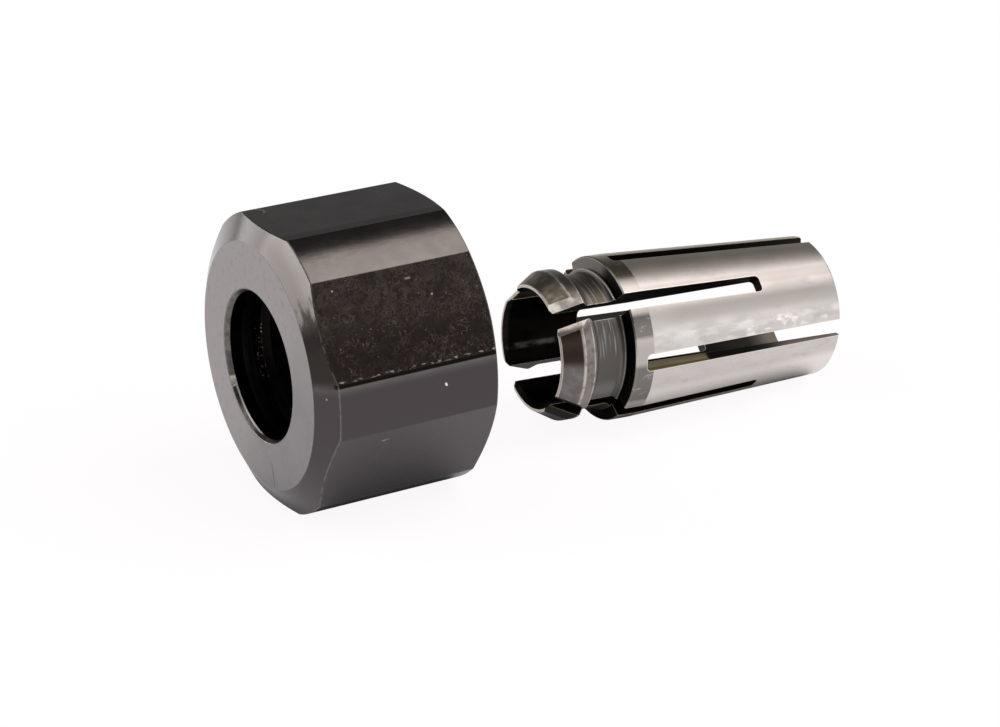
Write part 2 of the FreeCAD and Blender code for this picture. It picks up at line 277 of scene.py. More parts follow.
# %% [markdown]
# The thread is one ridge that winds round inside the bore: a 60 degree section with a pitch of
# 1 mm. Its section is drawn at the bore's wall and a Screw modifier sweeps it along the axis. It
# starts in front of the relief groove and ends behind the chamfer at the nut's mouth, so that
# both can cut it off, as they do on the real nut.

# %% Thread: section
PITCH = 1.0 * MM
RIDGE_HEIGHT = 0.541 * PITCH
RIDGE_CREST_WIDTH = 0.25 * PITCH
SUNK = 0.06 * MM
RIDGE_ROOT_WIDTH = 0.875 * PITCH + 2 * SUNK * math.tan(math.radians(30))
THREAD_RADIUS = 7.0 * MM
THREAD_FRONT = 6.9 * MM
THREAD_BACK = 12.8 * MM

section_height = RIDGE_HEIGHT + SUNK
section_middle = THREAD_RADIUS + SUNK - section_height / 2
bpy.ops.object.select_all(action="DESELECT")
bpy.ops.mesh.primitive_plane_add(
    size=1.0, location=(THREAD_FRONT - PITCH, 0, section_middle), rotation=(math.radians(90), 0, 0)
)
ridge = bpy.context.object
ridge.name = "thread_ridge"
ridge.scale = (RIDGE_ROOT_WIDTH, section_height, 1)
bpy.ops.object.transform_apply(location=True, rotation=True, scale=True)
half_way = section_middle / MM
pick_edges(ridge, lambda a, b: a.z < half_way and b.z < half_way)
bpy.ops.transform.resize(
    value=(RIDGE_CREST_WIDTH / RIDGE_ROOT_WIDTH, 1, 1),
    center_override=(THREAD_FRONT - PITCH, 0, 0),
)
bpy.ops.mesh.select_all(action="SELECT")
bpy.ops.mesh.delete(type="ONLY_FACE")
bpy.ops.object.mode_set(mode="OBJECT")
print("thread section in mm:", [round(v / MM, 3) for v in ridge.dimensions])

# %% [markdown]
# The swept ridge is open at both ends, so they are filled. Then a cut square to the axis takes
# off its front end, as the relief groove does.

# %% Thread: sweep, and the cut at the relief groove
TURNS = 7.5
STEPS_A_TURN = 72

sweep = ridge.modifiers.new("sweep", "SCREW")
sweep.axis = "X"
sweep.angle = 2 * math.pi * TURNS
sweep.screw_offset = PITCH * TURNS
sweep.steps = sweep.render_steps = int(STEPS_A_TURN * TURNS)
bpy.ops.object.modifier_apply(modifier="sweep")
bpy.ops.object.mode_set(mode="EDIT")
bpy.ops.mesh.select_mode(type="EDGE")
bpy.ops.mesh.select_all(action="SELECT")
bpy.ops.mesh.remove_doubles(threshold=MERGE_DISTANCE)
bpy.ops.mesh.fill_holes(sides=4)
bpy.ops.mesh.normals_make_consistent(inside=False)
bpy.ops.mesh.select_all(action="SELECT")
bpy.ops.mesh.bisect(
    plane_co=(THREAD_FRONT, 0, 0), plane_no=(1, 0, 0), use_fill=True, clear_inner=True,
    threshold=MERGE_DISTANCE,
)
bpy.ops.object.mode_set(mode="OBJECT")
print("thread ridge:", len(ridge.data.polygons), "faces")

# %% [markdown]
# The chamfer at the nut's mouth is a 45 degree cone. The same cone, carried on inwards, is the
# tool that takes the last turn down to nothing.

# %% Thread: lead-in
CONE_REACH = 1.2 * MM


def cut_with(piece, tool, operation="DIFFERENCE"):
    """Boolean of one piece with a tool shape, applied."""
    bpy.context.view_layer.objects.active = piece
    cut = piece.modifiers.new("cut", "BOOLEAN")
    cut.operation = operation
    cut.object = tool
    bpy.ops.object.modifier_apply(modifier="cut")
    print(piece.name, "cut by", tool.name, "->", len(piece.data.polygons), "faces")


bpy.ops.object.select_all(action="DESELECT")
bpy.ops.mesh.primitive_cone_add(
    vertices=NUT_FACETS, radius1=THREAD_RADIUS - CONE_REACH, radius2=THREAD_RADIUS + CONE_REACH,
    depth=2 * CONE_REACH, location=(THREAD_BACK, 0, 0), rotation=(0, math.radians(90), 0),
)
countersink = bpy.context.object
countersink.name = "countersink"
cut_with(ridge, countersink)
bpy.data.objects.remove(countersink)

# %% [markdown]
# The collet is turned first, slit afterwards and ground last. Its section starts at the rim of
# the bore: a 30 degree nose cone, the crest that snaps behind the nut's lip, the waist, a small
# bead in front of an undercut, the shoulder, a short land and the long ground taper. The bore
# grips the shank near the nose only, and opens a little from there to the tail.

# %% Collet: turned section
COLLET_SECTION = [
    (0.00, 4.25),    # mouth of the bore
    (0.00, 4.44),    # rim
    (1.40, 5.25),    # nose cone
    (2.20, 5.25),    # crest
    (2.65, 4.70),    # back of the crest
    (4.50, 4.70),    # waist
    (4.66, 4.96),    # bead
    (4.78, 4.96),
    (4.90, 4.84),    # undercut
    (5.03, 5.68),    # shoulder
    (5.13, 5.78),    # its broken edge
    (6.48, 5.78),    # land
    (22.15, 5.04),   # ground taper
    (22.30, 4.89),   # broken edge of the tail
    (22.30, 4.55),   # tail face
    (6.00, 4.10),    # the bore opens from here to the tail
    (0.40, 4.10),    # the bore that grips
]
COLLET_FACETS = 256
WAIST_CORNERS = ((2.65, 4.70), (4.50, 4.70))
WAIST_FILLET = 0.09
COLLET_EDGE_BREAK = 0.035

collet_body = turn_section("collet_body", COLLET_SECTION, COLLET_FACETS)
pick_edges(collet_body, lambda a, b: abs(a.x - b.x) < NEAR and any(
    abs(a.x - along) < NEAR and abs(ring_radius(a) - out) < NEAR for along, out in WAIST_CORNERS
))
bpy.ops.mesh.bevel(offset=WAIST_FILLET * MM, segments=4, affect="EDGES")
bpy.ops.object.mode_set(mode="OBJECT")
break_sharp_edges(collet_body, COLLET_EDGE_BREAK)

# %% [markdown]
# A slitting saw cuts right through both walls, so two cuts at right angles make the four slots
# of one end. The tail's slots stand between those of the nose, and each set stops short of the
# other end, which leaves a spring that opens and closes evenly. The saw is a box whose far
# corners are rounded, turned round the axis for each cut.

# %% Collet: slots
SLOT_WIDTH = 1.2
SLOT_CORNER = 0.3
NOSE_SLOT_END = 16.1
TAIL_SLOT_END = 5.95
COLLET_LENGTH = 22.3
OVERCUT = 1.0
SAW_HEIGHT = 14.0


def make_saw(name, closed_end, open_end):
    """Box from a slot's closed end to beyond its open end, rounded at the closed end."""
    bpy.ops.object.select_all(action="DESELECT")
    bpy.ops.mesh.primitive_cube_add(
        size=1.0, location=((closed_end + open_end) / 2 * MM, 0, 0),
        scale=(abs(open_end - closed_end) * MM, SLOT_WIDTH * MM, SAW_HEIGHT * MM),
    )
    saw = bpy.context.object
    saw.name = name
    bpy.ops.object.transform_apply(location=True, rotation=True, scale=True)
    pick_edges(saw, lambda a, b: abs(a.x - closed_end) < NEAR and abs(b.x - closed_end) < NEAR
               and abs(a.z - b.z) > NEAR)
    bpy.ops.mesh.bevel(offset=SLOT_CORNER * MM, segments=6, affect="EDGES")
    bpy.ops.object.mode_set(mode="OBJECT")
    return saw


nose_saw = make_saw("nose_saw", NOSE_SLOT_END, -OVERCUT)
tail_saw = make_saw("tail_saw", TAIL_SLOT_END, COLLET_LENGTH + OVERCUT)
for saw, turns in ((nose_saw, (0, 90)), (tail_saw, (45, 135))):
    for turn in turns:
        saw.rotation_euler = (math.radians(turn), 0, 0)
        cut_with(collet_body, saw)
    bpy.data.objects.remove(saw)

# %% [markdown]
# The edges of each jaw on the nose cone are bevelled, widest at the rim and running out on the
# crest, so that they don't catch as the collet snaps into the nut. The tool is a trough with
# sloping sides, which leans a little more than the cone does.

# %% Collet: bevelled jaws
NOSE_CONE_ANGLE = 30.0
BEVEL_LEAN = math.radians(NOSE_CONE_ANGLE + 1.0)
BEVEL_DEPTH = 0.37
BEVEL_SLOPE_WIDTH = 3.0
RIM_RADIUS = 4.44
TROUGH_HEIGHT = 1.11
TROUGH_LENGTH = 12.0

trough_floor = RIM_RADIUS * math.cos(BEVEL_LEAN) - BEVEL_DEPTH
upwards = Vector((-math.sin(BEVEL_LEAN), 0, math.cos(BEVEL_LEAN)))
bpy.ops.object.select_all(action="DESELECT")
bpy.ops.mesh.primitive_cube_add(
    size=1.0, location=(0, 0, 0), scale=(TROUGH_LENGTH * MM, SLOT_WIDTH * MM, TROUGH_HEIGHT * MM)
)
trough = bpy.context.object
trough.name = "jaw_trough"
bpy.ops.object.transform_apply(location=True, rotation=True, scale=True)
pick_edges(trough, lambda a, b: a.z > 0 and b.z > 0)
widen = 1 + 2 * BEVEL_SLOPE_WIDTH / SLOT_WIDTH
bpy.ops.transform.resize(value=(1, widen, 1), center_override=(0, 0, 0))
bpy.ops.object.mode_set(mode="OBJECT")
trough.rotation_euler = (0, -BEVEL_LEAN, 0)
trough.location = upwards * (trough_floor + TROUGH_HEIGHT / 2) * MM
bpy.ops.object.transform_apply(location=True, rotation=True, scale=True)
for turn in (0, 90, 180, 270):
    trough.rotation_euler = (math.radians(turn), 0, 0)
    cut_with(collet_body, trough)
bpy.data.objects.remove(trough)

# %% [markdown]
# A finish is a pattern in millimetres. Each piece has its own measure: how far a point lies along
# the piece's axis, how far out from it, and at which angle round it, counted from the top towards
# the camera. Turning marks follow the axis, wear follows the edges, and a nick sits at a stated
# place, as it would on a workshop sketch.

# %% Helpers: measures and masks
SLOWER = 0.01  # a turned place counts 100 degrees as 1 mm, which draws patterns out into rings


def measures(tree, origin, lean=0.0, yaw=0.0):
    """Place in mm on a piece whose axis is X, its depth, radius and angle, and a turned place."""
    place = add_node(tree, "ShaderNodeMapping", {
        "Vector": add_node(tree, "ShaderNodeTexCoord", out="Object"),
        "Location": origin, "Rotation": (0, lean, yaw), "Scale": (MM, MM, MM),
    }, vector_type="TEXTURE")
    along, across, up = add_node(tree, "ShaderNodeSeparateXYZ", {0: place}).node.outputs
    off_axis = add_node(tree, "ShaderNodeCombineXYZ", {"Y": across, "Z": up})
    radius = add_node(tree, "ShaderNodeVectorMath", {0: off_axis}, out="Value", operation="LENGTH")
    nearer = add_node(tree, "ShaderNodeMath", {0: across, 1: -1.0}, operation="MULTIPLY")
    turn = add_node(tree, "ShaderNodeMath", {0: nearer, 1: up}, operation="ARCTAN2")
    angle = add_node(tree, "ShaderNodeMath", {0: turn}, operation="DEGREES")
    slow_turn = add_node(tree, "ShaderNodeMath", {0: angle, 1: SLOWER}, operation="MULTIPLY")
    turned = add_node(tree, "ShaderNodeCombineXYZ", {"X": along, "Y": radius, "Z": slow_turn})
    return place, along, radius, angle, turned


def band(tree, value, low, high, soft):
    """Mask that is 1 from one value to another and fades out over a soft width."""
    rise = add_node(tree, "ShaderNodeMapRange", {
        "Value": value, "From Min": low - soft, "From Max": low,
    }, interpolation_type="SMOOTHSTEP")
    fall = add_node(tree, "ShaderNodeMapRange", {
        "Value": value, "From Min": high + soft, "From Max": high,
    }, interpolation_type="SMOOTHSTEP")
    return add_node(tree, "ShaderNodeMath", {0: rise, 1: fall}, operation="MULTIPLY")


def noise(tree, place, size, detail, curl=0.0):
    """Noise whose patches are about a size in mm, from 0 to 1 around a middle of 0.5."""
    spread = add_node(tree, "ShaderNodeVectorMath", {
        0: place, 1: tuple(1 / width for width in size),
    }, operation="MULTIPLY")
    return add_node(tree, "ShaderNodeTexNoise", {
        "Vector": spread, "Scale": 1.0, "Detail": detail, "Distortion": curl,
    })


def patches(tree, place, size, low, high, detail=2.0):
    """Mask of noise patches: 0 below one level of the noise, 1 above another."""
    return add_node(tree, "ShaderNodeMapRange", {
        "Value": noise(tree, place, size, detail), "From Min": low, "From Max": high,
    }, interpolation_type="SMOOTHSTEP")


def wisps(tree, place, size, width):
    """Mask of thin curled lines, which follow the noise's middle level like a contour line."""
    return band(tree, noise(tree, place, size, 1.5, curl=1.2), 0.5 - width, 0.5 + width, width)


def both(tree, *masks):
    """Where all the masks are."""
    result = masks[0]
    for mask in masks[1:]:
        result = add_node(tree, "ShaderNodeMath", {0: result, 1: mask}, operation="MULTIPLY")
    return result


FAR_OFF = 100.0


def spots(tree, place, size, *centres):
    """Mask of small marks, each within a size in mm of a centre on the piece."""
    nearest = FAR_OFF
    for centre in centres:
        distance = add_node(tree, "ShaderNodeVectorMath", {
            0: place, 1: centre,
        }, out="Value", operation="DISTANCE")
        nearest = add_node(tree, "ShaderNodeMath", {0: distance, 1: nearest}, operation="MINIMUM")
    return add_node(tree, "ShaderNodeMapRange", {
        "Value": nearest, "From Min": size, "From Max": size / 2,
    }, interpolation_type="SMOOTHSTEP")


ON_A_FACE, ON_AN_EDGE = 0.997, 0.96


def worn_edges(tree, width):
    """Mask of the sharp edges: there a normal averaged over a width in mm leaves its face's own."""
    averaged = add_node(tree, "ShaderNodeBevel", {"Radius": width * MM}, samples=8)
    own = add_node(tree, "ShaderNodeNewGeometry", out="True Normal")
    likeness = add_node(tree, "ShaderNodeVectorMath", {
        0: averaged, 1: own,
    }, out="Value", operation="DOT_PRODUCT")
    return add_node(tree, "ShaderNodeMapRange", {
        "Value": likeness, "From Min": ON_A_FACE, "From Max": ON_AN_EDGE,
    }, interpolation_type="SMOOTHSTEP")


# %% [markdown]
# Two more helpers put a finish together. One lays coats over a base, like lacquer through a
# stencil, and works for a colour as well as for a plain value such as the roughness. The other
# makes the metal: its colour, how evenly it mirrors, and a relief a few thousandths of a
# millimetre high, which breaks its reflections up.

# %% Helpers: coats and metal
# The Mix node's inputs for what lies under and over, and its output
COLOUR_SOCKETS, VALUE_SOCKETS = (6, 7, 2), (2, 3, 0)


def coats(tree, base, *layers):
    """Colour or value with layers over it, each a mask and what shows through it."""
    coloured = isinstance(base, str)
    under, over, out = COLOUR_SOCKETS if coloured else VALUE_SOCKETS
    result = linear(base) if coloured else base
    for mask, coat in layers:
        result = add_node(tree, "ShaderNodeMix", {
            0: mask, under: result, over: linear(coat) if coloured else coat,
        }, out=out, data_type="RGBA" if coloured else "FLOAT")
    return result


def metal(tree, colour, roughness, *reliefs, bare=1.0):
    """Metal, as far as it lies bare. Each relief is a mask and the height in mm it stands up."""
    shader_inputs = {"Base Color": colour, "Metallic": bare, "Roughness": roughness}
    for height, height_mm in reliefs:
        relief = {"Height": height, "Distance": height_mm * MM}
        if "Normal" in shader_inputs:
            relief["Normal"] = shader_inputs["Normal"]
        shader_inputs["Normal"] = add_node(tree, "ShaderNodeBump", relief)
    shader = add_node(tree, "ShaderNodeBsdfPrincipled", shader_inputs)
    add_node(tree, "ShaderNodeOutputMaterial", {"Surface": shader})


def paint(piece, material, belongs):
    """Gives a material to the faces whose middle in mm and normal pass a test."""
    piece.data.materials.append(material)
    slot = len(piece.data.materials) - 1
    painted = 0
    for face in piece.data.polygons:
        if belongs(face.center / MM, face.normal):
            face.material_index = slot
            painted += 1
    print(material.name, "on", painted, "faces of", piece.name)


# %% [markdown]
# The nut is blackened in a hot salt bath. The oxide is only a thousandth of a millimetre thick
# and follows the steel under it, so the turned skin stays a dark mirror. It reflects twelve parts
# in a hundred of the light. Its lower side is painted darker, as painted shade for the shaded
# paper that it mirrors there. Fine rings from the lathe and a faint mottling fray the edges of
# what it mirrors. The upper half of the chamfer is rubbed grey up to its rim, and soot lies
# beside it, drawn out round the chamfer where it was wiped.

# %% Nut: turned skin
turned_skin, tree = empty_tree("black_oxide_on_turned_steel")
place, depth, radius, angle, turned = measures(tree, nut_face_centre)
edges = both(tree, worn_edges(tree, 0.11), patches(tree, place, (0.5, 0.5, 0.5), 0.32, 0.52, detail=3.0))
stain = patches(tree, place, (1.6, 1.6, 1.6), 0.35, 0.70)
rings = patches(tree, turned, (0.13, 0.13, 0.6), 0.25, 0.75, detail=3.0)
mottle = patches(tree, place, (0.5, 0.16, 0.16), 0.35, 0.65, detail=4.0)
rubbed = both(tree, band(tree, depth, -1.0, 0.30, 0.70), band(tree, angle, 14.0, 44.0, 12.0))
chamfer = band(tree, depth, -1.0, 0.9, 0.1)
streaks = noise(tree, turned, (0.22, 0.30, 0.08), 3.0)
frayed_angle = add_node(tree, "ShaderNodeMath", {0: streaks, 1: 34.0, 2: angle}, operation="MULTIPLY_ADD")
sooty = both(
    tree, chamfer, band(tree, frayed_angle, 71.0, 200.0, 10.0), band(tree, angle, 0.0, 77.0, 7.0),
)
# the chamfer is coloured darker near its top and low on its far side
darker_chamfer_bands = both(tree, chamfer, add_node(tree, "ShaderNodeMath", {
    0: band(tree, angle, -18.0, 4.0, 8.0), 1: band(tree, angle, -165.0, -140.0, 10.0),
}, operation="MAXIMUM"))
rubbed_rim = both(tree, band(tree, depth, -1.0, 0.03, 0.01), band(tree, angle, -75.0, 48.0, 12.0))
# a near-black line along the arc just under the camera-facing flat's lower edge
dark_line_under_flat_edge = both(tree, band(tree, angle, 79.0, 80.2, 0.5), band(tree, depth, 0.9, 12.3, 0.2))
around = add_node(tree, "ShaderNodeMath", {0: angle}, operation="ABSOLUTE")
# painted shade: the lower side is coloured darker where it mirrors the shaded paper
painted_shade_low_side = band(tree, around, 84.0, 181.0, 4.0)
nick = spots(tree, place, 0.10, (8.46, -10.06, 0.49), (8.50, -10.06, 0.40))
fleck = spots(tree, place, 0.09, (0.48, -9.13, 0.83))
colour = coats(
    tree, "#625e5b", (stain, "#5b5755"), (painted_shade_low_side, "#464143"), (rubbed, "#575250"),
    (darker_chamfer_bands, "#45403f"), (sooty, "#332e2c"), (dark_line_under_flat_edge, "#14110f"), (edges, "#aaa49f"),
    (rubbed_rim, "#66625f"), (fleck, "#8f8a86"), (nick, "#dcd8d4"),
)
roughness = coats(tree, 0.18, (mottle, 0.22), (rubbed, 0.26), (edges, 0.60), (rubbed_rim, 0.42))
metal(tree, colour, roughness, (rings, 0.0006), (mottle, 0.0008), (nick, -0.02))

# %% [markdown]
# The flats are milled, so under the oxide they are a little rougher. The one that faces the
# camera carries a film of dried oil and oxide scale, drawn out in curled wisps a few tenths of a
# millimetre wide, with a few lighter specks. The flats above and below it carry no film, and the
# lower one is painted lighter, as painted reflection of the bright paper that it mirrors.

# %% Nut: milled flats
milled_flat, tree = empty_tree("black_oxide_on_milled_steel")
place, depth, radius, angle, turned = measures(tree, nut_face_centre)
edges = both(tree, worn_edges(tree, 0.11), patches(tree, place, (0.4, 0.4, 0.4), 0.36, 0.56, detail=3.0))
scaly = band(tree, angle, 41.0, 79.0, 1.0)
lower_half = band(tree, angle, 68.0, 90.0, 14.0)
wisps_light = wisps(tree, place, (0.46, 0.46, 0.46), 0.022)
wisps_dark = wisps(tree, place, (0.52, 0.52, 0.52), 0.030)
dark_scale = patches(tree, place, (0.8, 0.8, 0.8), 0.45, 0.70, detail=4.0)
lighter = patches(tree, place, (1.1, 1.1, 1.1), 0.35, 0.65, detail=2.0)
specks = patches(tree, place, (0.15, 0.15, 0.15), 0.75, 0.78, detail=1.0)
film = patches(tree, place, (2.5, 2.5, 2.5), 0.35, 0.70)
shaded_strip = band(tree, angle, 15.5, 25.0, 1.5)
# painted reflection: the lower flat is coloured lighter where it mirrors the bright paper
painted_light_lower_flat = band(tree, angle, 95.0, 145.0, 3.0)
worn_line = both(tree, band(tree, angle, 78.1, 78.6, 0.3),
                 patches(tree, place, (0.5, 0.2, 0.2), 0.52, 0.62, detail=4.0))
mill_lines = patches(tree, place, (6.0, 0.12, 0.12), 0.30, 0.70)
marks = spots(tree, place, 0.09, (2.22, -6.94, 6.99), (8.88, -7.66, 5.73), (4.26, -9.41, -2.70))
dashes = spots(tree, place, 0.10, (7.38, -7.01, 6.86), (7.50, -7.01, 6.86), (7.62, -7.01, 6.86),
               (4.16, -9.41, -2.71), (4.40, -9.41, -2.68), (4.54, -9.41, -2.66))
nick = spots(tree, place, 0.12, (1.90, 3.15, 9.50), (2.10, 3.02, 9.50), (2.22, 2.80, 9.50),
             (2.20, 2.55, 9.50), (2.05, 2.35, 9.50), (12.4, -2.10, 9.50))
colour = coats(
    tree, "#46413f", (film, "#3f3b39"), (shaded_strip, "#241f1d"), (painted_light_lower_flat, "#4d494a"),
    (scaly, "#3a3431"), (both(tree, scaly, lower_half), "#241e1c"),
    (both(tree, scaly, dark_scale), "#2c2624"), (both(tree, scaly, wisps_dark), "#2a2422"),
    (both(tree, scaly, wisps_light, lighter), "#433c38"), (both(tree, scaly, specks), "#786f68"),
    (edges, "#aaa49f"), (worn_line, "#8b847e"),
    (marks, "#9c948e"), (dashes, "#7d766f"), (nick, "#aaa49e"),
)
roughness = coats(tree, 0.27, (film, 0.31), (scaly, 0.42), (edges, 0.60))
metal(tree, colour, roughness, (mill_lines, 0.0005), (both(tree, scaly, wisps_light), 0.0013),
      (both(tree, scaly, dark_scale), -0.004))

# %% [markdown]
# The front face is the part that the spanner hand and the cutter's dust rub most. Its black has
# thinned to grey, and fine turning rings show faintly. Its top is painted lighter still, as
# painted reflection of the brighter paper that it mirrors there. A thin scratch runs in from the
# lower rim.

# %% Nut: rubbed face
rubbed_face, tree = empty_tree("black_oxide_rubbed_grey")
place, depth, radius, angle, turned = measures(tree, nut_face_centre)
edges = worn_edges(tree, 0.10)
rings = patches(tree, turned, (0.16, 0.16, 0.8), 0.25, 0.75, detail=3.0)
clouds = patches(tree, place, (2.2, 2.2, 2.2), 0.35, 0.68, detail=3.0)
grime = patches(tree, place, (0.5, 0.5, 0.5), 0.50, 0.75, detail=5.0)
# painted reflection: the face is coloured lighter towards its top
painted_light_top = band(tree, angle, -130.0, 40.0, 60.0)
scratch = both(tree, band(tree, angle, 165.0, 168.4, 0.35), band(tree, radius, 6.5, 8.0, 0.1),
               band(tree, add_node(tree, "ShaderNodeMath", {0: angle, 1: 166.9}, operation="SUBTRACT"),
                    -0.35, 0.35, 0.4))
colour = coats(
    tree, "#6c696a", (clouds, "#706d6e"), (painted_light_top, "#837e7c"), (grime, "#777372"),
    (edges, "#a8a4a2"), (scratch, "#4f4a48"),
)
roughness = coats(tree, 0.30, (clouds, 0.28), (grime, 0.32), (edges, 0.34))
metal(tree, colour, roughness, (rings, 0.0008), (grime, -0.001))

# %% [markdown]
# The mouth of the hole is worn by the shanks that slide through, and a painted highlight runs
# round its lower side. Behind it all is painted deep black, as painted shade in the bore, over the
# oil that the oxide holds there, with a few grains of swarf in it, so hardly any light comes back out.

# %% Nut: mouth of the hole, and the inside
hole_mouth, tree = empty_tree("steel_worn_bright_at_the_hole")
place, depth, radius, angle, turned = measures(tree, nut_face_centre)
bare = patches(tree, place, (0.5, 0.5, 0.5), 0.35, 0.60, detail=4.0)
chip = spots(tree, place, 0.45, (0.15, 4.45, -2.60))
# painted highlight: a thin bright line round the lower side of the mouth
painted_highlight_line = both(tree, band(tree, depth, 0.26, 0.40, 0.03), band(tree, angle, -172.0, -122.0, 8.0))
colour = coats(tree, "#55514e", (bare, "#67635f"), (worn_edges(tree, 0.08), "#a8a39f"),
               (painted_highlight_line, "#d2cdc8"), (chip, "#b9b4af"))
metal(tree, colour, coats(tree, 0.34, (bare, 0.30), (painted_highlight_line, 0.50)), (bare, 0.001), (chip, -0.05))

# painted shade: the inside is coloured near black, far darker than the same oxide outside, with oil
# patches
nut_inside, tree = empty_tree("oiled_black_oxide_inside_painted_shade_dark")
place, depth, radius, angle, turned = measures(tree, nut_face_centre)
oil = patches(tree, place, (0.8, 0.8, 0.8), 0.40, 0.62, detail=3.0)
rings = patches(tree, turned, (0.14, 0.14, 0.8), 0.25, 0.75, detail=2.0)
swarf = both(tree, band(tree, angle, -122.0, -82.0, 4.0), band(tree, depth, 2.4, 2.8, 0.1),
             patches(tree, place, (0.14, 0.14, 0.14), 0.60, 0.68, detail=2.0))
colour = coats(tree, "#131110", (oil, "#0c0b0a"), (worn_edges(tree, 0.08), "#2a2725"),
               (swarf, "#8a8682"))
metal(tree, colour, coats(tree, 0.42, (oil, 0.34)), (rings, 0.001), (oil, 0.002))

# %% [markdown]
# A face is known by its place and by the way that it looks, so short tests hand out the finishes:
# first the turned skin all over, then the others where they belong.

# %% Nut: which face has which finish
NUT_LENGTH = 13.2
AT_AN_END = 0.05
HOLE_RADIUS = 5.15
HOLE_MOUTH_END = 0.38
FLATS_BEYOND_RADIUS = 7.7
INSIDE_UP_TO_RADIUS = 7.3
BEFORE_THE_LEAD_IN = 12.7


def slanted_from_flats(normal):
    """Angle in degrees from a face's normal to the nearest direction that a flat faces."""
    around = math.degrees(math.atan2(-normal.y, normal.z))
    return abs((around + 30) % 60 - 30)


paint(nut_body, turned_skin, lambda middle, normal: True)
paint(nut_body, milled_flat, lambda middle, normal: abs(normal.x) < 0.01
      and slanted_from_flats(normal) < 0.5 and ring_radius(middle) > FLATS_BEYOND_RADIUS)
paint(nut_body, rubbed_face, lambda middle, normal: abs(normal.x) > 0.99
      and not AT_AN_END < middle.x < NUT_LENGTH - AT_AN_END)
paint(nut_body, nut_inside, lambda middle, normal: HOLE_MOUTH_END < middle.x < BEFORE_THE_LEAD_IN
      and ring_radius(middle) < INSIDE_UP_TO_RADIUS)
paint(nut_body, hole_mouth, lambda middle, normal: middle.x < HOLE_MOUTH_END
      and ring_radius(middle) < HOLE_RADIUS + NEAR)
paint(ridge, nut_inside, lambda middle, normal: True)

# %% [markdown]
# The collet is hardened and then ground on its taper, so that it runs true. Grinding leaves a
# satin of fine rings, about a hundredth of a millimetre apart. They are drawn coarser here, as
# the camera couldn't part them. Handling has mottled the satin, and the upper side is faintly
# straw-coloured from tempering. Along the side towards the camera, painted highlights and
# painted reflection bands lie on the satin, the underside is painted lighter, and the land
# carries patches of painted dark reflection.

# %% Collet: ground taper and land
COLLET_LEAN = math.asin(-collet_axis.z)
COLLET_YAW = math.atan2(collet_axis.y, collet_axis.x)
on_collet = (collet_nose, COLLET_LEAN, COLLET_YAW)

ground_taper, tree = empty_tree("hardened_steel_ground_to_a_satin")
place, depth, radius, angle, turned = measures(tree, *on_collet)
edges = worn_edges(tree, 0.10)
rings = patches(tree, turned, (0.13, 0.13, 0.5), 0.25, 0.75, detail=4.0)
clouds = patches(tree, place, (2.4, 1.2, 1.2), 0.35, 0.68, detail=3.0)
# painted highlight: light specks near the lower edge, with a lower roughness and a relief
painted_highlight_sparkle = both(tree, band(tree, angle, 76.0, 84.0, 8.0), band(tree, depth, 16.0, 22.0, 5.0),
               patches(tree, place, (0.8, 0.4, 0.4), 0.52, 0.70, detail=4.0))
# painted reflection bands: one streak is coloured lighter, with a lower roughness, and one darker
glossy_painted_light_streak = both(tree, band(tree, angle, 73.0, 86.0, 8.0),
                     patches(tree, place, (2.2, 0.7, 0.7), 0.40, 0.62, detail=3.0))
painted_shade_streak = both(tree, band(tree, angle, 56.0, 62.0, 6.0), band(tree, depth, 9.5, 21.0, 3.0))
stained = patches(tree, place, (1.6, 0.7, 0.7), 0.55, 0.75, detail=4.0)
# painted light: the underside is coloured lighter where it mirrors the paper close under it
painted_light_underside = band(tree, angle, 117.0, 160.0, 9.0)
# painted shade: a narrow darker band high on the taper
painted_shade_band = band(tree, angle, 38.0, 43.0, 4.0)
upper_side = band(tree, angle, -90.0, 20.0, 12.0)
land = band(tree, depth, 5.0, 6.46, 0.05)
# painted reflection: dark patches on the land, olive on its upper side, where it mirrors dark parts of
# the room
dark_reflection_angles = add_node(tree, "ShaderNodeMath", {
    0: band(tree, angle, 94.0, 119.0, 5.0),
    1: add_node(tree, "ShaderNodeMath", {
        0: band(tree, angle, 58.0, 70.0, 4.0), 1: band(tree, angle, -25.0, 22.0, 7.0),
    }, operation="MAXIMUM"),
}, operation="MAXIMUM")
painted_dark_reflections_on_land = both(tree, land, dark_reflection_angles,
                   patches(tree, place, (1.0, 0.5, 0.5), 0.25, 0.45, detail=3.0))
fine_pits = patches(tree, place, (0.18, 0.18, 0.18), 0.68, 0.74, detail=2.0)
colour = coats(
    tree, "#c2bcb9", (clouds, "#bab5b2"), (stained, "#b0aaa6"), (painted_shade_streak, "#b0aaa6"),
    (painted_shade_band, "#aea8a5"), (upper_side, "#c5beb3"), (painted_light_underside, "#d8d2ce"),
    (glossy_painted_light_streak, "#cbc7c4"), (painted_highlight_sparkle, "#e8e3e0"), (land, "#aca6a2"),
    (painted_dark_reflections_on_land, "#716c68"), (both(tree, painted_dark_reflections_on_land, upper_side), "#8a8270"),
    (fine_pits, "#a69e98"), (edges, "#d8d0c8"),
)
roughness = coats(
    tree, 0.35, (clouds, 0.38), (glossy_painted_light_streak, 0.27), (painted_highlight_sparkle, 0.22), (land, 0.30),
    (painted_dark_reflections_on_land, 0.27), (edges, 0.34),
)
metal(tree, colour, roughness, (rings, 0.0010), (painted_highlight_sparkle, 0.002), (fine_pits, -0.001))

# %% [markdown]
# The nose is left as it came from hardening: a brown-black skin, with turning marks in the
# waist. Snapping in and out of the nut has worn the crest bright along both its edges. Fine dust
# scatters the light on the worn spots, so there the metal counts as not quite bare.

